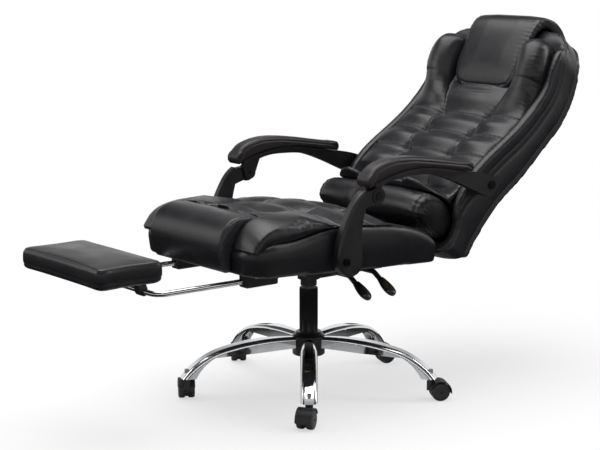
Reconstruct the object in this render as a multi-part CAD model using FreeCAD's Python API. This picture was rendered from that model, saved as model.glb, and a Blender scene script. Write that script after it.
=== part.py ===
import FreeCAD, Part
import os
from math import sin, cos, tan, radians, hypot

# Reclining office chair with a sliding footrest, in millimetres.
# The origin is on the floor under the gas lift. The chair faces -Y, its levers are at +X, and Z is up.
# It stands as it is used for lying back: back down, footrest out, gas lift at its lowest.

V = FreeCAD.Vector
X, Y, Z = V(1, 0, 0), V(0, 1, 0), V(0, 0, 1)

# Fits
running_gap = 0.08
soft_gap = 0.4
slip_gap = 0.3

# Star base and casters
leg_count = 5
first_leg_turn = -38.6
stem_circle_radius = 340.0
leg_height = 150.0
leg_width = 46.0
leg_root_width = 30.0
leg_wall = 2.5
leg_edge_radius = 11.0
leg_tip_z = 60.0
hub_radius = 44.0
hub_bottom_z = 100.0
hub_height = 55.0
wheel_radius = 25.0
wheel_width = 18.0
wheel_spacing = 8.0
axle_radius = 4.0
caster_trail = 24.0
caster_turns = [-56.0, 60.0, 70.0, 146.0, 149.0]
stem_radius = 5.5
stem_insert = 24.0
hood_gap = 2.0
hood_wall = 2.6

# Gas lift
column_radius = 25.0
column_wall = 2.0
column_bottom_z = 95.0
column_top_z = 282.0
cylinder_radius = 14.0
cylinder_wall = 2.0
cylinder_bottom_z = 118.0
cylinder_top_z = 330.0
bush_length = 60.0
rod_radius = 5.0

# Seat, in its own frame: x across, v back along its underside, w up from its underside
seat_tilt = 3.0
seat_bottom_z = 373.0
seat_half_width = 250.0
seat_front_v = -370.0
seat_rear_v = 242.0
seat_corner_radius = 60.0
seat_rear_radius = 28.0
seat_edge_radius = 13.0
board_thickness = 12.0
board_margin = 20.0
pillow_half_width = 246.0
pillow_rear_v = 93.0
apron_half_width = 158.0
tuft_x = 88.0
tuft_depth = 9.0
seat_tuft_rows = (-105, 10)

# Back, as its side outline in the chair's own frame
back_half_width = 246.0
back_corner_radius = 95.0
back_lean = 50.0
back_pillow_half_width = 214.0
back_board_half_width = 190.0
back_board_depth = 24.0
back_board_thickness = 9.0
bolster_width = 27.0
bolster_height = 46.0
head_pillow_half_width = 134.0
head_pillow_corner = 52.0
head_pillow_taper = 14.0
lumbar_half_width = 216.0

# Recline hinge and the bracket that carries the back
hinge_y = 165.0
hinge_z = 346.0
hinge_pin_radius = 6.0
recline_travel = 31.0
bracket_half_width = 64.0
bracket_wall = 5.0

# Seat mechanism
pan_half_width = 71.0
pan_wall = 4.0
pan_bottom_z = 322.0
pan_front_y = -62.0
pan_rear_y = 200.0
flange_half_width = 98.0
flange_front_y = -108.0
flange_rear_y = 142.0
socket_radius = 22.0
socket_bottom_z = 290.0
housing_radius = 30.0
housing_bottom_z = 308.0
lever_radius = 7.0
lever_corner_x = 162.0
lever_drop = (0.844, -0.536)
lever_z = 341.0
lever_places = {"height_lever": 5.0, "recline_lever": 90.0}
flange_bolt_radius = 4.0

# Arms
arm_x = 277.0
upright_thickness = 22.0
arm_pad_width = 50.0
arm_frame_width = 30.0
lower_pivot = (-110.0, 410.0)
knuckle = (0.0, 566.0)
rear_pivot = (394.0, 559.0)
knuckle_radius = 22.5
knuckle_recess = 5.0
rail_step = 7.0
knuckle_pin_radius = 5.0
upright_bolt_radius = 5.0
arm_screw_radius = 3.0
arm_screw_play = 3.6
arm_screw_grip = 26.0

# Footrest
rod_spacing = 300.0
footrest_tube_radius = 7.0
footrest_tube_wall = 1.5
footrest_bend_radius = 30.0
bar_y = -585.0
bar_z = 368.0
rod_rear_y = -222.0
guide_length = 97.0
guide_width = 32.0
guide_rear_y = -233.0
guide_bottom_z = 351.0
footrest_half_width = 179.0
footrest_depth = 174.0
footrest_thickness = 50.0
footrest_crown = 9.0
footrest_bottom_z = 410.0
saddle_x = 82.0
saddle_width = 24.0
saddle_wall = 5.0


def side(place, x=0.0):
    """A point of a side view, given as (y, z)."""
    return V(x, place[0], place[1])


def flat(place):
    """A point of a plan view, given as (x, y)."""
    return V(place[0], place[1], 0)


def outline(put, start, *steps):
    """A closed wire: a step of one point is a line, of two an arc, of more a smooth curve."""
    edges = []
    here = start
    for step in steps:
        points = [put(here)] + [put(p) for p in step]
        if len(points) == 2:
            edges.append(Part.makeLine(points[0], points[1]))
        elif len(points) == 3:
            edges.append(Part.Arc(*points).toShape())
        else:
            curve = Part.BSplineCurve()
            curve.interpolate(points)
            edges.append(curve.toShape())
        here = step[-1]
    if put(here).distanceToPoint(put(start)) > 0.001:
        edges.append(Part.makeLine(put(here), put(start)))
    return Part.Wire(edges)


def across(wire, x_low, x_high):
    """A side-view wire made into a solid from x_low to x_high."""
    face = Part.Face(wire)
    face.translate(V(x_low, 0, 0))
    return face.extrude(V(x_high - x_low, 0, 0))


def upward(wire, z_low, z_high):
    """A plan-view wire made into a solid from z_low to z_high."""
    face = Part.Face(wire)
    face.translate(V(0, 0, z_low))
    return face.extrude(V(0, 0, z_high - z_low))


def turned(points):
    """A solid of revolution about the Z axis from a closed outline of (radius, z) points."""
    wire = Part.makePolygon([V(r, 0, z) for r, z in points + points[:1]])
    return Part.Face(wire).revolve(V(0, 0, 0), Z, 360)


def rod(radius, start, direction, length):
    return Part.makeCylinder(radius, length, start, direction)


def block(low, high):
    return Part.makeBox(high[0] - low[0], high[1] - low[1], high[2] - low[2], V(*low))


def fused(shapes):
    whole = shapes[0].multiFuse(shapes[1:]) if len(shapes) > 1 else shapes[0]
    return whole.removeSplitter()


def bent_tube(points, bend, radius):
    """A round bar along straight runs that are joined by arcs of one radius."""
    edges = []
    start = points[0]
    for before, corner, after in zip(points, points[1:], points[2:]):
        into = (corner - before).normalize()
        out = (after - corner).normalize()
        half_turn = into.getAngle(out) / 2
        setback = bend * tan(half_turn)
        arc_start = corner - into * setback
        arc_end = corner + out * setback
        inward = (out - into).normalize()
        middle = corner + inward * (bend / cos(half_turn) - bend)
        edges.append(Part.makeLine(start, arc_start))
        edges.append(Part.Arc(arc_start, middle, arc_end).toShape())
        start = arc_end
    edges.append(Part.makeLine(start, points[-1]))
    path = Part.Wire(edges)
    direction = (points[1] - points[0]).normalize()
    ring = Part.Wire(Part.makeCircle(radius, points[0], direction))
    return path.makePipeShell([ring], True, False)


def mirrored(shape):
    return shape.mirror(V(0, 0, 0), X)


def tilted(shape):
    """Puts a shape from the seat's own frame into the chair's."""
    placed = shape.copy()
    placed.rotate(V(0, 0, 0), X, -seat_tilt)
    placed.translate(V(0, 0, seat_bottom_z))
    return placed


def seat_underside_z(y):
    return seat_bottom_z - y * tan(radians(seat_tilt))


def clear_of(shape, other, gap=soft_gap):
    """Cuts a soft piece back from the one that it lies on, with a small gap."""
    for offset in (V(0, -gap, gap), V(0, gap, gap), V(0, 0, 0)):
        moved = other.copy()
        moved.translate(offset)
        shape = shape.cut(moved)
    return shape


def below_seat(shape):
    """Cuts off what would stand above the seat's underside."""
    above = tilted(block((-400, -500, 0), (400, 400, 200)))
    return shape.cut(above)


parts = {}


# Star base: a black hub, and five legs pressed from chromed sheet, open underneath.

def leg_blank(inset):
    """A leg without its hollow, along +X. The inset makes the smaller blank that hollows it."""
    top = leg_height - inset
    tip = stem_circle_radius + 15.0 - inset
    floor = 113.0 if inset == 0 else 0.0
    side_edges = [((165, top - 2), (225, top - 12), (275, top - 27), (310, top - 47), (338, top - 70),
                   (tip, leg_tip_z))]
    if inset == 0:
        under = [((stem_circle_radius - 21, leg_tip_z),), ((303, 84), (266, floor)),
                 ((hub_radius - 8, 121),)]
    else:
        under = [((tip, 20),), ((hub_radius - 8, 20),)]
    put = lambda p: V(p[0], 0, p[1])
    wire = outline(put, (hub_radius - 8, top), *side_edges, *under)
    face = Part.Face(wire)
    face.translate(V(0, -leg_width, 0))
    profile = face.extrude(V(0, 2 * leg_width, 0))
    half = leg_width / 2 - inset
    root = leg_root_width / 2 - inset
    plan = outline(flat, (hub_radius - 8, -root), ((150, -half),), ((tip + 5, -half + 2),),
                   ((tip + 5, half - 2),), ((150, half),), ((hub_radius - 8, root),))
    blank = profile.common(upward(plan, 0, 200))
    upper = [edge for edge in blank.Edges if is_top_edge(edge)]
    return blank.makeFillet(leg_edge_radius - inset, upper)


def is_top_edge(edge):
    """True for the long edges where a leg's top meets its sides."""
    middle = edge.CenterOfMass
    along_the_leg = edge.Length > 60 and abs(middle.y) > 1
    return along_the_leg and (middle.z > leg_height - 15 or edge.Length > 150 and middle.z > leg_tip_z)


def make_leg():
    outer = leg_blank(0)
    inner = leg_blank(leg_wall)
    leg = outer.cut(inner)
    boss = rod(stem_radius + 3.5, V(stem_circle_radius, 0, leg_tip_z), Z, 60).common(outer)
    root = rod(hub_radius + 0.05, V(0, 0, 0), Z, 300)
    bore = rod(stem_radius + 0.02, V(stem_circle_radius, 0, 0), Z, leg_tip_z + stem_insert + 1)
    return leg.fuse(boss).cut(root).cut(bore)


def make_hub():
    dome_rise = 8.0
    top = hub_bottom_z + hub_height
    body = turned([(0, hub_bottom_z), (hub_radius - 2, hub_bottom_z), (hub_radius, hub_bottom_z + 2),
                   (hub_radius, top - 3),
                   (hub_radius - 4, top), (column_radius + 8, top + dome_rise), (0, top + dome_rise)])
    bore = rod(column_radius + 0.05, V(0, 0, 0), Z, 400)
    return body.cut(bore)


leg_shape = make_leg()
parts["base_hub"] = make_hub()


# Casters: a steel stem in the leg's tip, a moulded hood with its axle, and a pair of wheels.

def make_stem():
    collar_z = leg_tip_z - 3.0
    pin_bottom = 2 * wheel_radius - 14.0
    pin = rod(stem_radius, V(0, 0, pin_bottom), Z, leg_tip_z + stem_insert - pin_bottom)
    collar = rod(stem_radius + 3, V(0, 0, collar_z), Z, 2.9)
    return pin.fuse(collar)


def make_hood():
    """The web between the wheels, the curved hood over them, the stem block and the axle."""
    outer_radius = wheel_radius + hood_gap + hood_wall
    pair_width = 2 * wheel_width + wheel_spacing
    start = V(caster_trail, -pair_width / 2, wheel_radius)
    web_half = wheel_spacing / 2 - 0.6
    web = rod(wheel_radius - 4, V(caster_trail, -web_half, wheel_radius), Y, 2 * web_half)
    link = block((-10, -web_half, wheel_radius + 2), (caster_trail, web_half, 2 * wheel_radius))
    shell = rod(outer_radius, start, Y, pair_width)
    shell = shell.cut(rod(wheel_radius + hood_gap, start - Y, Y, pair_width + 2))
    keep = outline(lambda p: V(p[0], -40, p[1]), (caster_trail - 40, wheel_radius + 9),
                   ((caster_trail, wheel_radius + 9),),
                   ((caster_trail + 40, wheel_radius - 10),), ((caster_trail + 40, 90),),
                   ((caster_trail - 40, 90),))
    shell = shell.common(Part.Face(keep).extrude(V(0, 80, 0)))
    stem_block = rod(10, V(0, 0, 30), Z, 26.8)
    wheels_room = rod(wheel_radius + hood_gap, V(caster_trail, -pair_width, wheel_radius), Y,
                      pair_width - web_half)
    other_room = rod(wheel_radius + hood_gap, V(caster_trail, web_half, wheel_radius), Y, pair_width)
    neck = stem_block.fuse(block((-10, -web_half, 30), (2, web_half, 50))).cut(wheels_room).cut(other_room)
    axle = rod(axle_radius, V(caster_trail, -pair_width / 2 + 3, wheel_radius), Y, pair_width - 6)
    whole = fused([web, link, shell, neck, axle])
    return whole.cut(rod(stem_radius + running_gap, V(0, 0, 0), Z, 100))


def make_wheels():
    """Two wheels with rounded treads and a shallow domed face, side by side on one axle."""
    half_gap = wheel_spacing / 2
    r = wheel_radius
    w = wheel_width
    section = [(axle_radius + running_gap, 0), (r - 4, 0), (r - 1, 1), (r, 4), (r, w - 5),
               (r - 1.5, w - 1.5), (r - 4, w - 0.5),
               (r - 5.5, w - 1.5), (r - 9, w - 0.8), (r - 15, w), (axle_radius + running_gap, w)]
    wheel = turned(section)
    wheel.rotate(V(0, 0, 0), X, -90)
    wheel.translate(V(caster_trail, half_gap, wheel_radius))
    other = wheel.mirror(V(0, 0, 0), Y)
    return Part.makeCompound([wheel, other])


stem_shape = make_stem()
hood_shape = make_hood()
wheels_shape = make_wheels()
for k in range(leg_count):
    turn = first_leg_turn + k * 360.0 / leg_count
    leg = leg_shape.copy()
    leg.rotate(V(0, 0, 0), Z, turn)
    parts["base_leg_%d" % (k + 1)] = leg
    tip = V(stem_circle_radius * cos(radians(turn)), stem_circle_radius * sin(radians(turn)), 0)
    for name, shape in (("stem", stem_shape), ("housing", hood_shape), ("wheels", wheels_shape)):
        piece = shape.copy()
        piece.rotate(V(0, 0, 0), Z, caster_turns[k])
        piece.translate(tip)
        parts["caster_%d_%s" % (k + 1, name)] = piece


# Gas lift: outer column, guide bush, pressure cylinder, and the piston rod on its thrust bearing.

def make_column_tube():
    inner = column_radius - column_wall
    floor = column_bottom_z + 3.0
    return turned([(rod_radius + 0.5, column_bottom_z), (column_radius, column_bottom_z),
                   (column_radius, column_top_z),
                   (inner, column_top_z), (inner, floor), (rod_radius + 0.5, floor)])


def make_column_bush():
    inner = cylinder_radius + running_gap
    outer = column_radius - column_wall
    lip = 2.0
    return turned([(inner, column_top_z - bush_length), (outer, column_top_z - bush_length),
                   (outer, column_top_z),
                   (column_radius - 1, column_top_z), (column_radius - 1, column_top_z + lip),
                   (inner, column_top_z + lip)])


def make_gas_cylinder():
    inner = cylinder_radius - cylinder_wall
    cap = 7.0
    top = cylinder_top_z
    return turned([(rod_radius + running_gap, cylinder_bottom_z), (cylinder_radius, cylinder_bottom_z),
                   (cylinder_radius, top), (4, top), (4, top + 3), (0, top + 3), (0, top - 22),
                   (inner, top - 22),
                   (inner, cylinder_bottom_z + cap), (rod_radius + running_gap, cylinder_bottom_z + cap)])


def make_piston_rod():
    head_radius = cylinder_radius - cylinder_wall - running_gap
    head_z = cylinder_top_z - 40.0
    clip = column_bottom_z - 2.2
    return turned([(0, clip - 2), (rod_radius - 1, clip - 2), (rod_radius - 1, clip),
                   (rod_radius + 5, clip),
                   (rod_radius + 5, clip + 2), (rod_radius, clip + 2), (rod_radius, head_z),
                   (head_radius, head_z),
                   (head_radius, head_z + 10), (0, head_z + 10)])


def make_thrust_bearing():
    floor = column_bottom_z + 3.0
    hole = rod_radius + running_gap
    return turned([(hole, floor + 0.1), (14, floor + 0.1), (14, floor + 3), (12.5, floor + 4),
                   (14, floor + 5), (14, floor + 8),
                   (hole, floor + 8)])


parts["column_tube"] = make_column_tube()
parts["column_bush"] = make_column_bush()
parts["gas_cylinder"] = make_gas_cylinder()
parts["piston_rod"] = make_piston_rod()
parts["thrust_bearing"] = make_thrust_bearing()


# Seat mechanism: a pressed pan under a bolted flange, with the lift's socket and the recline hinge.

hinge = (hinge_y, hinge_z)


def make_mechanism_plate():
    half = pan_half_width
    front = (pan_front_y, seat_underside_z(pan_front_y))
    wall = outline(side, (pan_front_y - 30, 400), ((pan_front_y - 30, 352),), ((pan_front_y, 330),),
                   ((-30, pan_bottom_z),), ((pan_rear_y, pan_bottom_z),), ((pan_rear_y, 330),),
                   ((pan_rear_y - 14, 356),), ((hinge_y - 14, 362),), ((flange_rear_y, 400),))
    solid = across(wall, -half, half)
    inside = outline(side, (pan_front_y - 29, 430), ((pan_front_y - 26, 356),), ((pan_front_y + 3, 336),),
                     ((-28, pan_bottom_z + pan_wall),), ((pan_rear_y - pan_wall, pan_bottom_z + pan_wall),),
                     ((pan_rear_y - pan_wall, 430),))
    hollow = across(inside, -half + pan_wall, half - pan_wall)
    rear_slot = block((-half + pan_wall, hinge_y, pan_bottom_z + pan_wall + 3), (half - pan_wall, 260, 420))
    flange_low = -pan_wall / cos(radians(seat_tilt))
    flange = tilted(block((-flange_half_width, flange_front_y, flange_low),
                          (flange_half_width, flange_rear_y, 0)))
    window = tilted(block((-half + pan_wall + 14, pan_front_y + 10, -20),
                          (half - pan_wall - 14, flange_rear_y + 5, 20)))
    flange = flange.cut(window)
    socket = rod(socket_radius, V(0, 0, socket_bottom_z), Z, cylinder_top_z + 2 - socket_bottom_z)
    housing = rod(housing_radius, V(0, 0, housing_bottom_z), Z, pan_bottom_z + pan_wall - housing_bottom_z)
    plate = fused([below_seat(solid).cut(hollow).cut(rear_slot), flange, housing, socket])
    plate = plate.cut(rod(cylinder_radius + 0.03, V(0, 0, 200), Z, cylinder_top_z - 199.5))
    plate = plate.cut(rod(cylinder_radius - 3, V(0, 0, 200), Z, 200))
    plate = plate.cut(rod(hinge_pin_radius + 0.03, side(hinge, -100), X, 200))
    for y in lever_places.values():
        plate = plate.cut(rod(lever_radius + 0.7, V(half - pan_wall - 1, y, lever_z), X, pan_wall + 2))
    for bolt in flange_bolt_places():
        plate = plate.cut(tilted(rod(flange_bolt_radius + 0.1, V(bolt[0], bolt[1], -20), Z, 40)))
    return plate


def flange_bolt_places():
    inset = 14.0
    return [(sx * (flange_half_width - inset), y) for sx in (-1, 1) for y in (flange_front_y + inset,
                                                                              flange_rear_y - inset)]


def make_flange_bolts():
    """Four hexagon bolts up through the flange into the board."""
    bolts = []
    head_top = -pan_wall / cos(radians(seat_tilt)) - 0.02
    for x, v in flange_bolt_places():
        shank = rod(flange_bolt_radius, V(x, v, head_top), Z, board_thickness - 1 - head_top)
        corners = [V(x + 7.5 * cos(radians(60 * i)), v + 7.5 * sin(radians(60 * i)),
                     head_top - 5.3) for i in range(7)]
        head = Part.Face(Part.makePolygon(corners)).extrude(V(0, 0, 5.3))
        bolts.append(tilted(shank.fuse(head)))
    return Part.makeCompound(bolts)


def make_lever(y, inner_x):
    """A sleeved steel rod that leaves the pan sideways, then bends down to its grip."""
    bend = 26.0
    reach = 46.0
    corner = V(lever_corner_x, y, lever_z)
    end = corner + V(lever_drop[0], 0, lever_drop[1]) * reach
    return bent_tube([V(inner_x, y, lever_z), corner, end], bend, lever_radius)


def make_grip(y):
    """A flat paddle grip, wider and rounder at its free end, moulded over the rod."""
    overlap = 32.0
    down = V(lever_drop[0], 0, lever_drop[1])
    start = V(lever_corner_x, y, lever_z) + down * overlap
    flow = Y.cross(down)
    stations = [(0, 9, 8), (10, 12, 8.5), (28, 16, 8.5), (46, 16, 8), (56, 12, 7), (61, 6, 4)]
    wires = []
    for along, half_y, half_n in stations:
        centre = start + down * along
        corners = [centre + Y * half_y, centre + flow * half_n, centre - Y * half_y, centre - flow * half_n]
        curve = Part.BSplineCurve()
        curve.interpolate(corners, True)
        wires.append(Part.Wire(curve.toShape()))
    return Part.makeLoft(wires, True, False)


parts["mechanism_plate"] = make_mechanism_plate()
parts["mechanism_bolts"] = make_flange_bolts()
for name, y in lever_places.items():
    lever = make_lever(y, 28.0 if name == "height_lever" else 46.0)
    grip = make_grip(y)
    parts[name] = lever
    parts[name + "_grip"] = grip.cut(lever)


# Seat: a plywood board let into the base cushion, a tufted pillow on it, and a padded apron over its nose.

seat_front_height = 56.0
seat_side_bulge = 3.0
seat_top_side = [(-345, 72), (-268, 84), (-176, 105), (-111, 115), (-34, 114), (96, 107), (168, 91),
                 (224, 61),
                 (seat_rear_v, 42)]


def seat_base_solid():
    """The base cushion's outside, before its long edges are rounded."""
    profile = outline(side, (seat_front_v, 0), ((seat_front_v, seat_front_height),), tuple(seat_top_side),
                      ((seat_rear_v, 0),))
    body = across(profile, -400, 400)
    half = seat_half_width
    f = seat_front_v
    b = seat_rear_v
    middle = (f + b) / 2
    r = seat_corner_radius
    q = seat_rear_radius
    ri = r * (1 - sin(radians(45)))
    qi = q * (1 - sin(radians(45)))
    full = half + seat_side_bulge
    plan = outline(flat, (-half + r, f), ((half - r, f),), ((half - ri, f + ri), (half, f + r)),
                   ((full, middle), (half, b - q)),
                   ((half - qi, b - qi), (half - q, b)), ((-half + q, b),),
                   ((-half + qi, b - qi), (-half, b - q)),
                   ((-full, middle), (-half, f + r)), ((-half + ri, f + ri), (-half + r, f)))
    return body.common(upward(plan, -5, 300))


def rounded_top(body, radius):
    """Rounds the long edges where the cushion's top meets its sides."""
    chosen = []
    for edge in body.Edges:
        middle = edge.valueAt((edge.FirstParameter + edge.LastParameter) / 2)
        if middle.z > 50 and edge.Length > 100 and abs(middle.x) > seat_half_width - 5:
            chosen.append(edge)
    return body.makeFillet(radius, chosen)


def board_blank(gap):
    """The seat board, let into the underside, with a notch at its rear for the back's bracket."""
    half = seat_half_width - board_margin + gap
    low = seat_front_v + board_margin - gap
    high = seat_rear_v - board_margin + gap
    board = block((-half, low, -1 if gap else 0), (half, high, board_thickness + gap))
    notch = bracket_half_width + 16 - gap
    return board.cut(block((-notch, hinge_y - 22 + gap, -10), (notch, 300, 60)))


def bracket_room():
    """The space that the back's bracket sweeps inside the seat's rear."""
    half = bracket_half_width + 16
    rise = tan(radians(recline_travel))
    start = hinge_y - 22
    wire = outline(side, (start, 300), ((start, hinge_z + 26),),
                   ((280, hinge_z + 26 + (280 - start) * rise * 0.8),), ((280, 300),))
    return across(wire, -half, half)


plate_x = seat_half_width - board_margin - 3.0
plate_height = 76.0


def arm_plate(gap):
    """A bent steel plate that stands on the board inside the seat's side and takes an arm's bolt."""
    bolt_v = lower_pivot[0]
    upright = block((plate_x - 4 - gap, bolt_v - 24 - gap, board_thickness),
                    (plate_x + gap, bolt_v + 24 + gap, plate_height + gap))
    foot = block((plate_x - 50 - gap, bolt_v - 24 - gap, board_thickness),
                 (plate_x + gap, bolt_v + 24 + gap, board_thickness + 4 + gap))
    return tilted(upright.fuse(foot))


def make_seat_base():
    body = tilted(rounded_top(seat_base_solid(), seat_edge_radius))
    body = body.cut(tilted(board_blank(slip_gap)))
    for plate in (arm_plate(slip_gap), mirrored(arm_plate(slip_gap))):
        body = body.cut(plate)
    bolt_hole = rod(upright_bolt_radius + slip_gap, side(lower_pivot, plate_x - 20), X, 80)
    body = body.cut(bolt_hole).cut(mirrored(bolt_hole))
    return body.cut(bracket_room())


def pillow_section(place, normal, half, depth, edge, notch, notch_height, crown, mid_crown):
    """One closed section of a tufted pillow: a flat back, full sides, and three crowned bays in front."""
    def at(x, height):
        return V(x, 0, 0) + place + normal * height
    left, right = -half, half
    bay = (notch + half) / 2
    back_left = at(left + 6, -depth)
    back_right = at(right - 6, -depth)
    seam_left = at(left, edge)
    seam_right = at(right, edge)
    dip_left = at(-notch, notch_height)
    dip_right = at(notch, notch_height)
    edges = [Part.makeLine(back_left, back_right),
             Part.Arc(back_right, at(right + 3, (edge - depth) / 2), seam_right).toShape(),
             Part.Arc(seam_right, at(bay, crown), dip_right).toShape(),
             Part.Arc(dip_right, at(0, mid_crown), dip_left).toShape(),
             Part.Arc(dip_left, at(-bay, crown), seam_left).toShape(),
             Part.Arc(seam_left, at(left - 3, (edge - depth) / 2), back_left).toShape()]
    return Part.Wire(edges)


def base_top_at(v):
    """Height of the base cushion's top line at v."""
    line = [(seat_front_v, seat_front_height)] + seat_top_side
    for (v0, w0), (v1, w1) in zip(line, line[1:]):
        if v <= v1:
            return w0 + (w1 - w0) * (v - v0) / (v1 - v0)
    return line[-1][1]


def make_seat_pillow(apron_room):
    """Three bays across, with a tuft in each groove at the two low rows."""
    stations = [(seat_front_v - 4, 6, 12), (-357, 24, 40), (-328, 38, 56), (-290, 42, 61), (-240, 36, 50),
                (-180, 30, 37),
                (-140, 27, 32), (-105, 18, 23), (-60, 26, 31), (-25, 25, 30), (10, 15, 21), (42, 19, 26),
                (72, 12, 20),
                (pillow_rear_v, 2, 6)]
    wires = []
    for v, seam, top in stations:
        base = base_top_at(v)
        place = V(0, v, base)
        dip = top - (tuft_depth if v in seat_tuft_rows else tuft_depth / 2)
        wires.append(pillow_section(place, Z, pillow_half_width, 14, seam, tuft_x, dip, top, top + 1))
    pillow = Part.makeLoft(wires, True, False)
    return tilted(clear_of(pillow, seat_base_solid()).cut(apron_room))


def apron_wire(grow):
    """Side outline of the apron: from a crease on the seat's top, round the nose, to its bottom edge."""
    g = grow
    return outline(side, (-284 + g, 100), ((-284 + g, 138),),
                   ((-330, 143 + g), (-372, 133 + g), (-398 - g, 108 + g),
                   (-409 - g, 74), (-404 - g, 36), (-388 - g, 2 - g)), ((seat_front_v - 2, 2 - g),),
                   ((seat_front_v + 12, 60),))


def make_apron():
    """The apron lies against the base cushion's nose."""
    body = across(apron_wire(0), -apron_half_width, apron_half_width)
    return tilted(largest(clear_of(body, seat_base_solid())))


def largest(shape):
    return max(shape.Solids, key=lambda solid: solid.Volume)


parts["seat_board"] = tilted(board_blank(0))
for x, v in flange_bolt_places():
    parts["seat_board"] = parts["seat_board"].cut(tilted(rod(flange_bolt_radius + 0.1, V(x, v, -5), Z,
                                                             board_thickness + 4)))
parts["seat_base"] = make_seat_base()
parts["seat_apron"] = make_apron()
apron_room = across(apron_wire(soft_gap), -apron_half_width - soft_gap, apron_half_width + soft_gap)
parts["seat_pillow"] = make_seat_pillow(apron_room)


# Back: an inner board, the upholstered base around it, a tufted pillow, a head pillow and a lumbar roll.

back_rear_line = [(352, 363), (366, 389), (399, 429), (436, 470), (474, 504), (550, 557), (627, 623),
                  (706, 693), (745, 748),
                  (767, 805), (781, 850), (801, 884), (821, 907)]
back_front_line = [(728, 905), (714, 868), (706, 825), (692, 786), (664, 748), (606, 692), (548, 648),
                   (490, 614), (445, 585),
                   (395, 548), (345, 512), (318, 480), (309, 445), (290, 412), (252, 374)]
back_foot = (300, 358)


def back_profile():
    """Side outline of the back base, from its rear bottom corner up, over its top and down its front."""
    return outline(side, back_rear_line[0], tuple(back_rear_line[1:]), ((820, 934), (795, 949)),
                   ((755, 944), back_front_line[0]),
                   tuple(back_front_line[1:]), (back_foot, back_rear_line[0]))


def back_front_view():
    """Front outline of the back, across the line that the back leans along."""
    lean = radians(back_lean)
    half = back_half_width
    r = back_corner_radius
    s = sin(radians(45))
    top = 740.0
    rise = 16.0
    low = -20.0
    foot = 36.0
    def put(place):
        x, along = place
        return V(x, 300 + along * cos(lean) + 400 * sin(lean), 370 + along * sin(lean) - 400 * cos(lean))
    wire = outline(put, (-half + foot, low), ((half - foot, low),),
                   ((half - foot + foot * s, low + foot - foot * s), (half, low + foot)),
                   ((half, top - r),), ((half - r + r * s, top - r + r * s), (half - r, top)),
                   ((0, top + rise), (-half + r, top)), ((-half + r - r * s, top - r + r * s),
                                                         (-half, top - r)),
                   ((-half, low + foot),), ((-half + foot - foot * s, low + foot - foot * s),
                                            (-half + foot, low)))
    return Part.Face(wire).extrude(V(0, -sin(lean) * 900, cos(lean) * 900))


def make_bolster():
    """The padded edge that stands up beside the back pillow, from its foot to the head."""
    inner = back_half_width - bolster_width
    middle = back_half_width - bolster_width / 2
    sunk = 22.0
    rises = [(112, 0.06), (140, 0.28), (180, 0.62), (225, 0.9), (280, 1.0), (380, 1.0), (480, 1.0),
             (590, 1.0), (650, 0.96),
             (695, 0.78), (722, 0.5), (737, 0.2)]
    wires = []
    for distance, share in rises:
        place, normal = front_station(distance)
        height = bolster_height * share
        shoulder = height - min(7.0, height / 2)
        points = [V(x, 0, 0) + place + normal * rise for x, rise in
                  ((inner, -sunk), (inner, shoulder), (middle, height), (back_half_width, shoulder),
                   (back_half_width, -sunk))]
        crown = Part.Arc(points[1], points[2], points[3]).toShape()
        wires.append(Part.Wire([Part.makeLine(points[0], points[1]), crown,
                                Part.makeLine(points[3], points[4]),
                                Part.makeLine(points[4], points[0])]))
    return Part.makeLoft(wires, True, False)


def back_base_solid():
    body = across(back_profile(), -back_half_width, back_half_width)
    bolster = make_bolster()
    return body.fuse([bolster, mirrored(bolster)]).common(back_front_view())


def back_board_wire(grow):
    """A curved strip that follows the rear line at a fixed depth."""
    near, far = [], []
    line = back_rear_line[1:-2]
    for before, here, after in zip([back_rear_line[0]] + line, line, line[1:] + [back_rear_line[-2]]):
        dy, dz = after[0] - before[0], after[1] - before[1]
        length = hypot(dy, dz)
        ny, nz = -dz / length, dy / length
        for points, depth in ((near, back_board_depth - grow),
                              (far, back_board_depth + back_board_thickness + grow)):
            points.append((here[0] + ny * depth, here[1] + nz * depth))
    return outline(side, near[0], tuple(near[1:]), (far[-1],), tuple(reversed(far[:-1])), (near[0],))


def lumbar_wire(grow, scale=1.0):
    """Section of the lumbar roll: four arcs, each less than a half circle."""
    middle = (266, 470)
    corners = [(193, 488), (207, 524), (240, 543), (302, 517), (338, 462), (322, 418), (284, 404),
               (236, 441)]
    points = []
    for y, z in corners:
        dy, dz = y - middle[0], z - middle[1]
        reach = hypot(dy, dz)
        factor = scale * (reach + grow) / reach
        points.append((middle[0] + dy * factor, middle[1] + dz * factor))
    return outline(side, points[0], (points[1], points[2]), (points[3], points[4]), (points[5], points[6]),
                   (points[7], points[0]))


def make_lumbar():
    ends = [(0, 0.72), (12, 0.88), (40, 0.965), (96, 1.0), (176, 1.0)]
    stations = [(inset - lumbar_half_width, scale) for inset, scale in ends]
    stations += [(lumbar_half_width - inset, scale) for inset, scale in reversed(ends)]
    wires = []
    for x, scale in stations:
        wire = lumbar_wire(0, scale)
        wire.translate(V(x, 0, 0))
        wires.append(wire)
    return Part.makeLoft(wires, True, False)


def bracket_profile(grow=0.0):
    """Side outline of the back's bracket: a bar back from the hinge, then up along the back board."""
    g = grow
    return outline(side, (hinge_y - 10, hinge_z - 6 - g), ((hinge_y - 10, hinge_z + 6 + g),),
                   ((262, hinge_z + 4 + g),),
                   ((318 - g, 384 + g),), ((372 - g, 456 + g),), ((379 + g, 450 - g),),
                   ((330 + g, 384 - g),), ((304, hinge_z - 8 - g),))


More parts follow.
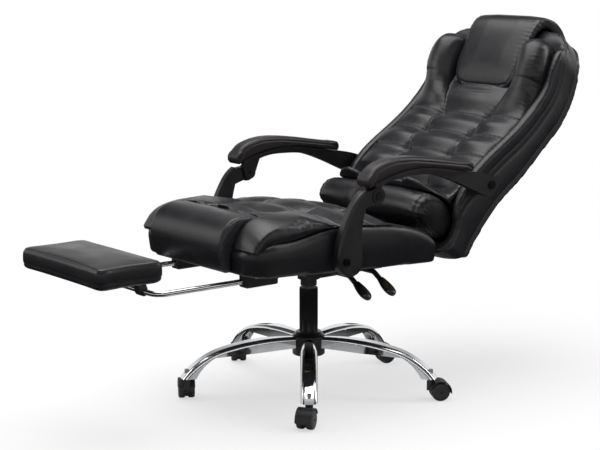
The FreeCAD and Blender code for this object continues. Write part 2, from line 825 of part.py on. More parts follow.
def make_back_bracket():
    bar = across(bracket_profile(), -bracket_half_width, bracket_half_width)
    lug = rod(10, side(hinge, -bracket_half_width), X, 2 * bracket_half_width)
    inner = bracket_half_width - bracket_wall
    middle = block((-inner, hinge_y - 20, hinge_z - 30), (inner, hinge_y + 40, hinge_z + 30))
    bracket = fused([bar, lug]).cut(middle)
    bracket = bracket.cut(rod(hinge_pin_radius + running_gap, side(hinge, -100), X, 200))
    for bolt in bracket_bolts(0.1):
        bracket = bracket.cut(bolt)
    return bracket


def bracket_bolts(gap):
    """Four bolts through the bracket's upper plate into the back board."""
    bolts = []
    up = V(0, 372 - 318, 456 - 384).normalize()
    out = V(0, up.z, -up.y)
    for along in (28.0, 68.0):
        for x in (-40.0, 40.0):
            seat = V(x, 330, 384) + up * along
            shank = rod(3.0 + gap, seat - out * 14, out, 22)
            head = rod(6.5 + gap, seat - out * (14 + 3.5), out, 3.5)
            bolts.append(shank.fuse(head))
    return bolts


def make_back_base():
    body = back_base_solid()
    body = body.cut(across(back_board_wire(slip_gap), -back_board_half_width - slip_gap,
                           back_board_half_width + slip_gap))
    body = body.cut(across(lumbar_wire(1.0), -lumbar_half_width - 4, lumbar_half_width + 4))
    room = across(bracket_profile(1.0), -bracket_half_width - 1, bracket_half_width + 1)
    body = body.cut(room)
    for bolt in bracket_bolts(0.4):
        body = body.cut(bolt)
    return largest(body)


def front_station(distance):
    """A place on the back's front line, counted up from its foot, and the direction square to it there."""
    curve = Part.BSplineCurve()
    curve.interpolate([side(p) for p in reversed(back_front_line)])
    edge = curve.toShape()
    parameter = edge.getParameterByLength(distance)
    along = edge.tangentAt(parameter)
    return edge.valueAt(parameter), V(0, -along.z, along.y)


def make_back_pillow(head_room):
    """Three bays with tufts at three rows; above them the bays widen into the head wings."""
    half = back_pillow_half_width
    stations = [(112, half - 8, 4, 88, 12, 16, 18), (160, half - 2, 26, 88, 28, 36, 38),
                (215, half, 34, 88, 36, 46, 46),
                (258, half, 38, 88, 42, 52, 52),
                (300, half, 40, 88, 32, 42, 42), (342, half, 42, 88, 44, 56, 54),
                (385, half, 42, 88, 33, 44, 43),
                (428, half, 42, 90, 45, 58, 54), (470, half, 42, 92, 34, 48, 43),
                (520, half, 42, 104, 44, 68, 52),
                (565, half, 42, 118, 46, 82, 50), (610, half, 40, 126, 42, 92, 44),
                (655, half, 34, 128, 36, 95, 40),
                (695, half - 6, 28, 128, 34, 90, 38), (722, half - 20, 20, 126, 28, 74, 32),
                (736, half - 40, 8, 120, 16, 46, 20)]
    wires = []
    for distance, width, edge, notch, dip, crown, mid in stations:
        place, normal = front_station(distance)
        wires.append(pillow_section(place, normal, width, 16, edge, notch, dip, crown, mid))
    pillow = Part.makeLoft(wires, True, False)
    return largest(clear_of(pillow, back_base_solid()).cut(head_room))


def head_wire(grow):
    """Side outline of the head pillow: down the front of the back, and folded over its top."""
    g = grow
    return outline(side, (640 - g, 790 - g), ((648 - g, 826), (668 - g, 872), (694 - g, 918),
                                              (718 - g, 955), (745, 978 + g),
                   (782, 979 + g), (822, 956 + g), (852 + g, 913)), ((824 - g, 901),),
                   ((806 - g, 926 - g), (786, 946 - g),
                   (756, 952 - g), (730 + g, 936), (712 + g, 908), (694 + g, 862), (676 + g, 816),
                   (668 + g, 784 - g)))


def head_blank(gap):
    """The head pillow's outside: its sides draw in towards rounded lower corners."""
    lean = radians(back_lean)
    low, high = 536.0, 820.0
    r = head_pillow_corner
    top = head_pillow_half_width + gap
    foot = top - head_pillow_taper
    s = sin(radians(45))

    def put(place):
        x, along = place
        return V(x, 300 + along * cos(lean) + 400 * sin(lean), 370 + along * sin(lean) - 400 * cos(lean))

    view = outline(put, (-foot + r, low - gap), ((foot - r, low - gap),),
                   ((foot - r + r * s, low - gap + r - r * s), (foot, low - gap + r)), ((top, high),),
                   ((-top, high),),
                   ((-foot, low - gap + r),), ((-foot + r - r * s, low - gap + r - r * s),
                                               (-foot + r, low - gap)))
    room = Part.Face(view).extrude(V(0, -sin(lean) * 900, cos(lean) * 900))
    return across(head_wire(gap), -top, top).common(room)


parts["back_board"] = across(back_board_wire(0), -back_board_half_width, back_board_half_width)
for bolt in bracket_bolts(0.05):
    parts["back_board"] = parts["back_board"].cut(bolt)
parts["back_base"] = make_back_base()
parts["lumbar_pillow"] = make_lumbar()
lumbar_room = across(lumbar_wire(soft_gap), -lumbar_half_width - 2, lumbar_half_width + 2)
parts["back_pillow"] = make_back_pillow(head_blank(soft_gap)).cut(lumbar_room)
parts["head_pillow"] = largest(clear_of(head_blank(0), back_base_solid(), 2 * soft_gap))
board_room = across(back_board_wire(slip_gap), -back_board_half_width, back_board_half_width)
parts["back_bracket"] = make_back_bracket().cut(board_room)
parts["back_bracket_bolts"] = Part.makeCompound(bracket_bolts(0))
parts["recline_pin"] = rod(hinge_pin_radius, side(hinge, -pan_half_width - 3), X, 2 * pan_half_width + 6)


# Arms: an upright that tips on a bolt in the seat's side, an arm on its knuckle, and a padded top.

outer_x = arm_x + upright_thickness / 2 - 1
upright_inner_x = outer_x - upright_thickness


def make_upright():
    """A slim curved blade; a recessed neck joins its top to the knuckle disc behind it."""
    y0, z0 = knuckle
    r = knuckle_radius
    wire = outline(side, (-50, 584), ((-72, 567), (-92, 540), (-110, 507), (-125, 470), (-134, 430),
                                      (-133, 404), (-124, 384)),
                   ((-102, 372), (-78, 374)), ((-62, 388), (-57, 412), (-58, 440), (-60, 470), (-57, 500),
                                               (-51, 525), (-44, 548),
                   (-38, 566)))
    blade = across(wire, upright_inner_x, outer_x)
    front_edge = [e for e in blade.Edges
                  if e.Length > 150 and e.CenterOfMass.y < -90 and e.CenterOfMass.x > outer_x - 1]
    blade = blade.makeFillet(8, front_edge)
    neck = outline(side, (-46, 580), ((-50, 536),), ((-20, 545),), ((y0, z0 - r), (y0 + r, z0)),
                   ((y0, z0 + r), (-20, 583)))
    disc = across(neck, upright_inner_x, outer_x - knuckle_recess)
    rim = rod(r - 3, side(knuckle, upright_inner_x), X, upright_thickness - knuckle_recess + 2)
    foot = rod(20, side(lower_pivot, seat_half_width + 5), X, upright_inner_x - seat_half_width - 5)
    upright = fused([blade, disc, rim, foot])
    upright = upright.cut(rod(upright_bolt_radius + running_gap, side(lower_pivot, 200), X, 200))
    return upright.cut(rod(knuckle_pin_radius + 0.03, side(knuckle, 200), X, 200))


pad_under = [(-40, 591), (-26, 599), (-4, 608), (55, 622), (123, 628), (194, 622), (262, 611), (312, 603)]
frame_inner_x = arm_x - arm_frame_width / 2 - 2


def make_rail(line, low, high, half_width):
    """One step of the moulding under the pad, between two heights below the pad's line."""
    upper = [(y, z - low) for y, z in line]
    lower = [(y, z - high) for y, z in reversed(line)]
    wire = outline(side, upper[0], tuple(upper[1:]), (lower[0],), tuple(lower[1:]))
    return across(wire, arm_x - half_width, arm_x + half_width)


def make_arm_frame():
    """The moulded beam under the pad, with a lug inside the upright and an eye at its rear."""
    top = [(y, z - slip_gap) for y, z in pad_under[1:-1]]
    beam = outline(side, (top[0][0], top[0][1]), tuple(top[1:]), ((310, 602),),
                   ((345, 597), (383, 588), (405, 581)),
                   ((424, 568), (414, 548)), ((402, 532), (380, 529)),
                   ((304, 562), (230, 592), (176, 606), (124, 610), (55, 607), (21, 599),
                   (-14, 596)))
    body = across(beam, frame_inner_x, frame_inner_x + arm_frame_width)
    rails = [make_rail(top, 0, rail_step, 22.0), make_rail(top, rail_step, 2 * rail_step, 18.5)]
    body = body.fuse(rails)
    room = outline(side, (-100, 500), ((-100, 594.5),), ((-14, 594.5),), ((34, 594.5),), ((34, 500),))
    body = body.cut(across(room, upright_inner_x - 0.6, 400))
    lug_wire = outline(side, (-19, 566), ((0, 547), (19, 566)), ((34, 603),), ((-30, 597),))
    lug = across(lug_wire, frame_inner_x, upright_inner_x - 0.6)
    frame = fused([body, lug])
    frame = frame.cut(rod(knuckle_pin_radius + running_gap, side(knuckle, 200), X, 200))
    return frame.cut(rod(arm_screw_radius + arm_screw_play, side(rear_pivot, 200), X, 200))


def make_arm_pad():
    """A padded, stitched arm top with rounded edges."""
    wire = outline(side, pad_under[0], ((-50, 605), (-41, 624)),
                   ((-27, 640), (0, 652), (41, 660), (109, 659), (215, 644), (298, 631)),
                   ((317, 622), pad_under[-1]), tuple(reversed(pad_under[:-1])))
    half = arm_pad_width / 2
    body = across(wire, arm_x - half, arm_x + half)
    long_edges = [e for e in body.Edges if e.Length > 200 and e.CenterOfMass.z > 630]
    return body.makeFillet(11, long_edges)


def make_knuckle_pin():
    """A steel pin with a round screw cover outside."""
    start = frame_inner_x + 1
    face_x = outer_x - knuckle_recess + 2
    pin = rod(knuckle_pin_radius, side(knuckle, start), X, face_x - start + 0.5)
    cover = rod(11, side(knuckle, face_x + 0.1), X, 2)
    return pin.fuse(cover)


def make_upright_bolt():
    shank = rod(upright_bolt_radius, side(lower_pivot, plate_x - 12), X, outer_x + 0.2 - plate_x + 12)
    head = rod(10, side(lower_pivot, outer_x + 0.15), X, 5)
    socket = rod(4, side(lower_pivot, outer_x + 2.5), X, 10)
    collar = rod(9, side(lower_pivot, seat_half_width + 3.4), X, 1.5)
    return shank.fuse(head).fuse(collar).cut(socket)


def make_arm_screw():
    """The screw that holds the arm's eye to the back; the eye has play around it."""
    frame_outer = frame_inner_x + arm_frame_width
    start = back_half_width - arm_screw_grip
    shank = rod(arm_screw_radius, side(rear_pivot, start), X, frame_outer + 0.5 - start)
    head = rod(11, side(rear_pivot, frame_outer + 0.3), X, 3.5)
    return shank.fuse(head)


def arm_screw_hole():
    return rod(arm_screw_radius + 0.05, side(rear_pivot, back_half_width - arm_screw_grip - 1), X, 60)


arm_frame = make_arm_frame()
left = {"upright": make_upright(), "arm_frame": arm_frame, "arm_pad": make_arm_pad().cut(arm_frame),
        "knuckle_pin": make_knuckle_pin()}
for name, shape in left.items():
    parts["left_" + name] = shape
    parts["right_" + name] = mirrored(shape)
bolt = make_upright_bolt()
parts["upright_bolts"] = Part.makeCompound([bolt, mirrored(bolt)])
plate = arm_plate(0).cut(rod(upright_bolt_radius + 0.05, side(lower_pivot, 100), X, 300))
parts["arm_plates"] = Part.makeCompound([plate, mirrored(plate)])
screw = make_arm_screw()
parts["arm_screws"] = Part.makeCompound([screw, mirrored(screw)])
parts["back_base"] = parts["back_base"].cut(arm_screw_hole()).cut(mirrored(arm_screw_hole()))


# Footrest: a bent tube that slides in two guides, and a padded panel that turns on its cross bar.

def make_footrest_frame():
    half = rod_spacing / 2
    points = [V(-half, rod_rear_y, bar_z), V(-half, bar_y, bar_z), V(half, bar_y, bar_z),
              V(half, rod_rear_y, bar_z)]
    outer = bent_tube(points, footrest_bend_radius, footrest_tube_radius)
    inner = bent_tube(points, footrest_bend_radius, footrest_tube_radius - footrest_tube_wall)
    return outer.cut(inner)


def make_guides():
    """Two moulded blocks screwed under the seat, each with a bore for a rod."""
    guides = []
    for sx in (-1, 1):
        x = sx * rod_spacing / 2
        body = block((x - guide_width / 2, guide_rear_y - guide_length, guide_bottom_z),
                     (x + guide_width / 2, guide_rear_y, 420))
        lower = [e for e in body.Edges if abs(e.CenterOfMass.z - guide_bottom_z) < 0.1]
        body = below_seat(body.makeFillet(5, lower))
        bore = rod(footrest_tube_radius + running_gap, V(x, -700, bar_z), Y, 700)
        guides.append(body.cut(bore))
    return Part.makeCompound(guides)


def make_saddles():
    """Two brackets under the pad, each clamped round the cross bar so that the pad can turn."""
    pad_front = bar_y - footrest_depth * 0.3
    saddles = []
    for sx in (-1, 1):
        low = sx * saddle_x - saddle_width / 2
        high = sx * saddle_x + saddle_width / 2
        r = footrest_tube_radius + saddle_wall
        top = footrest_bottom_z
        wire = outline(side, (bar_y + r, bar_z), ((bar_y, bar_z - r), (bar_y - r, bar_z)),
                       ((bar_y - r - 8, top - 8),),
                       ((pad_front, top - 4),), ((pad_front, top),), ((bar_y - 3, top),))
        body = across(wire, low, high)
        saddles.append(body.cut(rod(footrest_tube_radius + running_gap, V(-200, bar_y, bar_z), X, 400)))
    return Part.makeCompound(saddles)


def make_footrest_pad():
    """A crowned pad with sides drawn in between its corners."""
    rear = bar_y - 3.0
    front = rear - footrest_depth
    middle = (rear + front) / 2
    wires = []
    rise = footrest_thickness
    for height, inset in ((0, 7), (4, 2), (rise / 2, 0), (rise - 6, 2), (rise, 9)):
        half = footrest_half_width - inset
        f = front + inset
        b = rear - inset
        r = 20.0
        s = sin(radians(45))
        draw = 3.0
        wires.append(outline(lambda p, z=footrest_bottom_z + height: V(p[0], p[1], z), (-half + r, f),
                             ((0, f + draw), (half - r, f)),
                             ((half - r + r * s, f + r - r * s), (half, f + r)),
                             ((half - draw, middle), (half, b - r)),
                             ((half - r + r * s, b - r + r * s), (half - r, b)),
                             ((0, b - draw), (-half + r, b)),
                             ((-half + r - r * s, b - r + r * s), (-half, b - r)),
                             ((-half + draw, middle), (-half, f + r)),
                             ((-half + r - r * s, f + r - r * s), (-half + r, f))))
    body = Part.makeLoft(wires, True, False)
    crown_wires = []
    for y, half, high in ((front + 9.5, 160, 0.3), (front + 40, 164, 0.8), (middle, 166, 1.0),
                          (rear - 40, 164, 0.8), (rear - 9.5, 160, 0.3)):
        base = footrest_bottom_z + rise - 2
        top = base + 2.5 + footrest_crown * high
        crown_wires.append(outline(lambda p, y=y: V(p[0], y, p[1]), (-half, base), ((half, base),),
                                   ((half, base + 1.5),),
                                   ((0, top), (-half, base + 1.5))))
    crown = Part.makeLoft(crown_wires, True, False)
    return fused([body, crown])


parts["footrest_frame"] = make_footrest_frame()
parts["footrest_guides"] = make_guides()
parts["footrest_saddles"] = make_saddles()
parts["footrest_pad"] = make_footrest_pad()


os.makedirs("parts", exist_ok=True)
for name in sorted(parts):
    shape = parts[name]
    shape.exportStep("parts/%s.step" % name)
    print(name, len(shape.Solids), round(shape.Volume / 1000, 1), shape.isValid())
print(len(parts), "parts")
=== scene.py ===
import math

import bmesh
import bpy
import numpy as np
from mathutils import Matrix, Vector


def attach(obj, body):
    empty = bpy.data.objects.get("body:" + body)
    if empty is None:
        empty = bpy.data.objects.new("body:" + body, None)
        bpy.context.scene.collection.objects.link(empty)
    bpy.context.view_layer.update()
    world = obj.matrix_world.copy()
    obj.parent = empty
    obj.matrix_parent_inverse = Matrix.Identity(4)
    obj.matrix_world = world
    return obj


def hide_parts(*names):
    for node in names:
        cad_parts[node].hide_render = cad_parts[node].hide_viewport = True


# Reclining office chair with a footrest, laid back for resting, on a plain pale floor.

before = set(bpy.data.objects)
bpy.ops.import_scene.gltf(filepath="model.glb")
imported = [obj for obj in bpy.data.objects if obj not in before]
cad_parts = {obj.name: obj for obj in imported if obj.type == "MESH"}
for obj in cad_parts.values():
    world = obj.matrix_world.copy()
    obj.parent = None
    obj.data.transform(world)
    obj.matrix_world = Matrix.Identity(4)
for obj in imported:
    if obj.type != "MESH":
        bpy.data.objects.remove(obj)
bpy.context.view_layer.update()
mm = 0.001


# Star base: a moulded hub with five legs that are pressed from sheet steel, open underneath,
# polished and chromed. The legs are pressed and riveted into the hub, and all of it shows.

def add_node(tree, kind, values=None, links=None):
    """Adds one shader node, sets its sockets or properties, and links other nodes into it."""
    node = tree.nodes.new(kind)
    for name, value in (values or {}).items():
        if isinstance(name, int) or name in node.inputs:
            node.inputs[name].default_value = value
        else:
            setattr(node, name, value)
    for name, output in (links or {}).items():
        tree.links.new(output, node.inputs[name])
    return node


def colour(hex_code):
    """An sRGB hex colour as the linear values that a shader takes."""
    parts = [int(hex_code[i:i + 2], 16) / 255 for i in (1, 3, 5)]
    return [p / 12.92 if p <= 0.04045 else ((p + 0.055) / 1.055) ** 2.4 for p in parts] + [1.0]


def new_finish(name):
    """A material with its node tree, its surface shader, and the piece's own coordinates."""
    material = bpy.data.materials.new(name)
    material.use_nodes = True
    tree = material.node_tree
    place = add_node(tree, "ShaderNodeTexCoord").outputs["Object"]
    return material, tree, tree.nodes["Principled BSDF"], place


def finish_nodes(names, material):
    """Gives the carried-over CAD nodes their finish."""
    for name in names:
        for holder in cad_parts[name].material_slots:
            holder.material = material


def bright_chrome(name, ripple):
    """Bright nickel-chrome plate on polished steel: a mirror, faintly rippled, with wiped smears."""
    material, tree, surface, place = new_finish(name)
    surface.inputs["Metallic"].default_value = 1.0
    surface.inputs["Base Color"].default_value = colour("#dcdde0")
    waves = add_node(tree, "ShaderNodeTexNoise", {"Scale": 1 / (45 * mm), "Detail": 1.0}, {"Vector": place})
    smears = add_node(tree, "ShaderNodeTexNoise", {"Scale": 1 / (18 * mm), "Detail": 4.0}, {"Vector": place})
    rough = add_node(tree, "ShaderNodeMapRange", {"From Min": 0.45, "From Max": 0.75, "To Min": 0.04,
                                                  "To Max": 0.13}, {"Value": smears.outputs["Fac"]})
    bump = add_node(tree, "ShaderNodeBump", {"Strength": ripple, "Distance": 1 * mm},
                    {"Height": waves.outputs["Fac"]})
    tree.links.new(rough.outputs["Result"], surface.inputs["Roughness"])
    tree.links.new(bump.outputs["Normal"], surface.inputs["Normal"])
    return material


def moulded_plastic(name, shade, roughness, grain, depth):
    """Injection-moulded plastic: a spark-eroded grain, with patches that are slightly shinier."""
    material, tree, surface, place = new_finish(name)
    patches = add_node(tree, "ShaderNodeTexNoise", {"Scale": 1 / (60 * mm), "Detail": 3.0}, {"Vector": place})
    tone = add_node(tree, "ShaderNodeMix", {"data_type": "RGBA", 6: colour(shade[0]), 7: colour(shade[1])},
                    {0: patches.outputs["Fac"]})
    rough = add_node(tree, "ShaderNodeMapRange", {"From Min": 0.3, "From Max": 0.7,
                                                  "To Min": roughness - 0.06, "To Max": roughness + 0.06},
                     {"Value": patches.outputs["Fac"]})
    sparks = add_node(tree, "ShaderNodeTexNoise", {"Scale": 1 / grain, "Detail": 2.0}, {"Vector": place})
    bump = add_node(tree, "ShaderNodeBump", {"Strength": 0.35, "Distance": depth},
                    {"Height": sparks.outputs["Fac"]})
    tree.links.new(tone.outputs[2], surface.inputs["Base Color"])
    tree.links.new(rough.outputs["Result"], surface.inputs["Roughness"])
    tree.links.new(bump.outputs["Normal"], surface.inputs["Normal"])
    return material


leg_chrome = bright_chrome("Chromed pressed steel", ripple=0.25)
hub_plastic = moulded_plastic("Glossy moulded nylon", ("#101011", "#18181a"), roughness=0.3, grain=1.2 * mm,
                              depth=0.1 * mm)
finish_nodes(["base_leg_%d" % k for k in range(1, 6)], leg_chrome)
finish_nodes(["base_hub"], hub_plastic)


# Five twin-wheel casters: a moulded hood and web over two nylon wheels, on a steel stem
# that is pushed into the leg's tip. The plastic is matt, the stem is zinc plated.

caster_plastic = moulded_plastic("Matt moulded nylon", ("#111112", "#1b1b1d"), roughness=0.48, grain=1.5 * mm,
                                 depth=0.15 * mm)
wheel_plastic = moulded_plastic("Nylon wheel tread", ("#0f0f10", "#1d1d1f"), roughness=0.42, grain=2.0 * mm,
                                depth=0.2 * mm)
# Zinc plate on turned steel: a dull grey metal with faint clouds.
zinc, tree, surface, place = new_finish("Zinc-plated steel")
surface.inputs["Metallic"].default_value = 1.0
surface.inputs["Base Color"].default_value = colour("#a9abae")
clouds = add_node(tree, "ShaderNodeTexNoise", {"Scale": 1 / (6 * mm), "Detail": 3.0}, {"Vector": place})
rough = add_node(tree, "ShaderNodeMapRange", {"To Min": 0.24, "To Max": 0.46},
                 {"Value": clouds.outputs["Fac"]})
tree.links.new(rough.outputs["Result"], surface.inputs["Roughness"])
# Black oxide on screws: a dark metal with an oily, uneven shine.
black_oxide, tree, surface, place = new_finish("Black-oxide steel")
surface.inputs["Metallic"].default_value = 1.0
oil = add_node(tree, "ShaderNodeTexNoise", {"Scale": 1 / (5 * mm), "Detail": 3.0}, {"Vector": place})
tone = add_node(tree, "ShaderNodeMix", {"data_type": "RGBA", 6: colour("#232325"), 7: colour("#2e2e30")},
                {0: oil.outputs["Fac"]})
rough = add_node(tree, "ShaderNodeMapRange", {"To Min": 0.3, "To Max": 0.5}, {"Value": oil.outputs["Fac"]})
tree.links.new(tone.outputs[2], surface.inputs["Base Color"])
tree.links.new(rough.outputs["Result"], surface.inputs["Roughness"])
for k in range(1, 6):
    finish_nodes(["caster_%d_housing" % k], caster_plastic)
    finish_nodes(["caster_%d_wheels" % k], wheel_plastic)
    finish_nodes(["caster_%d_stem" % k], zinc)


# Gas lift: a steel column, sprayed gloss black, with a plastic guide bush at its mouth, and a
# chromed pressure cylinder that slides in it on a piston rod and a thrust bearing.

column_paint = moulded_plastic("Gloss black sprayed steel", ("#0b0b0c", "#131315"), roughness=0.2,
                               grain=3.0 * mm, depth=0.05 * mm)
finish_nodes(["column_tube"], column_paint)
finish_nodes(["column_bush"], caster_plastic)
finish_nodes(["gas_cylinder", "piston_rod"], bright_chrome("Hard-chromed ground steel", ripple=0.05))
finish_nodes(["thrust_bearing"], zinc)


# Seat mechanism: a pressed steel pan with a bolted flange, baked in black powder coat, with two
# bent steel levers that end in moulded paddle grips. It hangs under the plywood seat board.

pan_coat = moulded_plastic("Black powder coat", ("#121213", "#1a1a1c"), roughness=0.5, grain=1.8 * mm,
                           depth=0.25 * mm)
finish_nodes(["mechanism_plate", "back_bracket", "arm_plates", "height_lever", "recline_lever"], pan_coat)
finish_nodes(["height_lever_grip", "recline_lever_grip"], hub_plastic)
finish_nodes(["mechanism_bolts", "recline_pin", "back_bracket_bolts"], zinc)
# Poplar plywood: pale wood in soft bands, sanded and left bare.
ply, tree, surface, place = new_finish("Poplar plywood")
rings = add_node(tree, "ShaderNodeTexWave", {"Scale": 1 / (30 * mm), "Distortion": 6.0, "Detail": 3.0},
                 {"Vector": place})
tone = add_node(tree, "ShaderNodeMix", {"data_type": "RGBA", 6: colour("#c9a877"), 7: colour("#b18f60")},
                {0: rings.outputs["Fac"]})
tree.links.new(tone.outputs[2], surface.inputs["Base Color"])
surface.inputs["Roughness"].default_value = 0.7
finish_nodes(["seat_board", "back_board"], ply)


# Seat cushion: a firm foam box over the plywood board, upholstered in black PU leather that is
# pulled round the edges and stapled underneath. Its sides belly out a little between the corners.

def pu_leather(name, dark, light, roughness, grain):
    """Polyurethane leather: embossed pebble grain, soft gloss, and lighter along its seams, scuffed there and
    with a painted highlight.
    """
    material, tree, surface, place = new_finish(name)
    clouds = add_node(tree, "ShaderNodeTexNoise", {"Scale": 1 / (90 * mm), "Detail": 4.0}, {"Vector": place})
    tone = add_node(tree, "ShaderNodeMix", {"data_type": "RGBA", 6: colour(dark), 7: colour(light)},
                    {0: clouds.outputs["Fac"]})
    # Lighter along the seams from the point attribute: partly scuffing, partly a painted highlight on the
    # seam lines.
    seam_sheen_and_scuff = add_node(tree, "ShaderNodeAttribute", {"attribute_name": "seam_sheen_and_scuff"})
    sheen_and_scuff_tone = add_node(tree, "ShaderNodeMix", {"data_type": "RGBA", 7: colour("#2c2c30")},
                      {0: seam_sheen_and_scuff.outputs["Fac"], 6: tone.outputs[2]})
    pebbles = add_node(tree, "ShaderNodeTexVoronoi", {"feature": "SMOOTH_F1", "Scale": 1 / grain},
                       {"Vector": place})
    creases = add_node(tree, "ShaderNodeTexNoise", {"Scale": 1 / (14 * mm), "Detail": 5.0, "Roughness": 0.55},
                       {"Vector": place})
    pebble_bump = add_node(tree, "ShaderNodeBump", {"Strength": 0.4, "Distance": 0.25 * mm},
                           {"Height": pebbles.outputs["Distance"]})
    crease_bump = add_node(tree, "ShaderNodeBump", {"Strength": 0.22, "Distance": 1.0 * mm},
                           {"Height": creases.outputs["Fac"], "Normal": pebble_bump.outputs["Normal"]})
    rough = add_node(tree, "ShaderNodeMapRange", {"From Min": 0.3, "From Max": 0.7,
                                                  "To Min": roughness - 0.05, "To Max": roughness + 0.06},
                     {"Value": clouds.outputs["Fac"]})
    tree.links.new(sheen_and_scuff_tone.outputs[2], surface.inputs["Base Color"])
    tree.links.new(rough.outputs["Result"], surface.inputs["Roughness"])
    tree.links.new(crease_bump.outputs["Normal"], surface.inputs["Normal"])
    surface.inputs["Specular IOR Level"].default_value = 0.45
    return material


def bake(piece):
    """Makes what the modifiers give the piece's own mesh."""
    shown = piece.evaluated_get(bpy.context.evaluated_depsgraph_get())
    mesh = bpy.data.meshes.new_from_object(shown)
    piece.modifiers.clear()
    piece.data = mesh


def skin_over(name, nodes, quad, relax):
    """A fresh closed skin in even quads over the outside of some CAD nodes, its edges relaxed."""
    bm = bmesh.new()
    for node in nodes:
        bm.from_mesh(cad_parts[node].data)
    bmesh.ops.remove_doubles(bm, verts=bm.verts, dist=0.01 * mm)
    mesh = bpy.data.meshes.new(name)
    bm.to_mesh(mesh)
    bm.free()
    skin = bpy.data.objects.new(name, mesh)
    bpy.context.scene.collection.objects.link(skin)
    remesh = skin.modifiers.new("Even quads", "REMESH")
    remesh.mode = "VOXEL"
    remesh.voxel_size = quad
    if relax:
        smooth = skin.modifiers.new("Relaxed edges", "SMOOTH")
        smooth.factor = 0.5
        smooth.iterations = relax
    bake(skin)
    return skin


def points_of(piece):
    """The mesh's points, in millimetres."""
    flat = np.empty(len(piece.data.vertices) * 3, np.float32)
    piece.data.vertices.foreach_get("co", flat)
    return flat.reshape(-1, 3).astype(float) / mm


def normals_of(piece):
    """The direction that the skin faces at each point."""
    flat = np.empty(len(piece.data.vertices) * 3, np.float32)
    piece.data.vertex_normals.foreach_get("vector", flat)
    return flat.reshape(-1, 3).astype(float)


def move_points(piece, points):
    """Puts the mesh's points, given in millimetres, back."""
    piece.data.vertices.foreach_set("co", (points * mm).astype(np.float32).ravel())
    piece.data.update()


blow_steps = 20


def stuff(piece, held, pressure, cap, slack):
    """Blows the skin up against what holds it, as filling does a sewn cover, by no more than the cap."""
    group = piece.vertex_groups.new(name="Sewn down")
    for level in range(1, 11):
        group.add([int(i) for i in np.nonzero(np.round(held * 10) == level)[0]], level / 10, "REPLACE")
    before = points_of(piece)
    cloth = piece.modifiers.new("Cover", "CLOTH")
    cloth.settings.vertex_group_mass = "Sewn down"
    cloth.settings.use_pressure = True
    cloth.settings.uniform_pressure_force = pressure
    cloth.settings.effector_weights.gravity = 0
    cloth.settings.shrink_min = -slack
    cloth.point_cache.frame_end = blow_steps
    for step in range(1, blow_steps + 1):
        bpy.context.scene.frame_set(step)
    bake(piece)
    bpy.context.scene.frame_set(1)
    moved = points_of(piece) - before
    reach = np.linalg.norm(moved, axis=1, keepdims=True)
    move_points(piece, before + moved * np.minimum(1, cap / np.maximum(reach, 0.001)))
    settled = piece.modifiers.new("Settled filling", "SMOOTH")
    settled.factor = 0.5
    settled.iterations = 3
    bake(piece)


def finer(piece):
    """Splits every quad in four and rounds the skin between them."""
    piece.modifiers.new("Finer", "SUBSURF").levels = 1
    piece.modifiers["Finer"].render_levels = 1
    bake(piece)


def from_line(points, line):
    """Distance of flat points from a line of straight runs, place along it, and their side of it."""
    nearest = np.full(len(points), 1e9)
    along = np.zeros(len(points))
    side = np.zeros(len(points))
    travelled = 0.0
    for start, end in zip(np.array(line[:-1], float), np.array(line[1:], float)):
        run = end - start
        length = np.hypot(*run)
        share = np.clip((points - start) @ run / length ** 2, 0, 1)
        off = points - start - share[:, None] * run
        gap = np.hypot(off[:, 0], off[:, 1])
        closer = gap < nearest
        nearest[closer] = gap[closer]
        along[closer] = (travelled + share * length)[closer]
        side[closer] = ((run[0] * off[:, 1] - run[1] * off[:, 0]) / length)[closer]
        travelled += length
    return nearest, along, side


def ramp(value, span):
    """Rises from 0 to 1 as a value goes from 0 to the span, and stays there."""
    return np.clip(value / span, 0, 1)


def groove(gap, width):
    """The section of a sewn groove: 1 on its line, and nearly 0 at two widths from it."""
    return np.exp(-(gap / width) ** 2)


def puckers(along, gap, depth, pitch, reach, seed):
    """Gathers square to a seam: uneven ripples along it that die away over their reach."""
    drift = np.sin(along / 37 + seed) + 0.6 * np.sin(along / 17 + 2 * seed)
    swell = 0.65 + 0.35 * np.sin(along / 53 + 3 * seed)
    return depth * swell * np.sin(2 * np.pi * along / pitch + 1.4 * drift) * np.exp(-gap / reach)


def mark_seam_sheen_and_scuff(piece, amount):
    """Notes how much each point is lightened, from 0 to 1: scuffing, and a painted highlight along the seams.
    """
    attribute = piece.data.attributes.new("seam_sheen_and_scuff", "FLOAT", "POINT")
    attribute.data.foreach_set("value", np.clip(amount, 0, 1).astype(np.float32))


def upholster(piece, body, nodes, material):
    """Finishes a padded piece: smooth shaded, in its leather, on its body, in place of its CAD nodes."""
    piece.data.materials.clear()
    piece.data.materials.append(material)
    piece.data.polygons.foreach_set("use_smooth", [True] * len(piece.data.polygons))
    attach(piece, body)
    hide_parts(*nodes)


leather = pu_leather("Black PU leather", "#101013", "#17171b", roughness=0.36, grain=2.4 * mm)
seat_cushion = skin_over("seat_cushion", ["seat_base", "seat_board", "arm_plates"], quad=6 * mm, relax=5)
cushion_points = points_of(seat_cushion)
cushion_half_width = 250
cushion_underside = 370
cushion_height = 110
side_bulge = 3.5
nose_crown = 5.0
side_share = ramp(np.abs(cushion_points[:, 0]), cushion_half_width) ** 8
belly = np.sin(ramp(cushion_points[:, 2] - cushion_underside, cushion_height) * np.pi)
crown = ramp(cushion_points[:, 2] - 405, 30) * ramp(-200 - cushion_points[:, 1], 100)
cushion_points += normals_of(seat_cushion) * (side_share * belly * side_bulge + nose_crown * crown)[:, None]
move_points(seat_cushion, cushion_points)
finer(seat_cushion)
upholster(seat_cushion, "seat", ["seat_base"], leather)


# Seat pillow: a loose-filled top in the same leather, sewn down along the cushion's edges and
# tufted where two lengthwise pleats cross two cross seams. Its sides are gathered onto their seam.

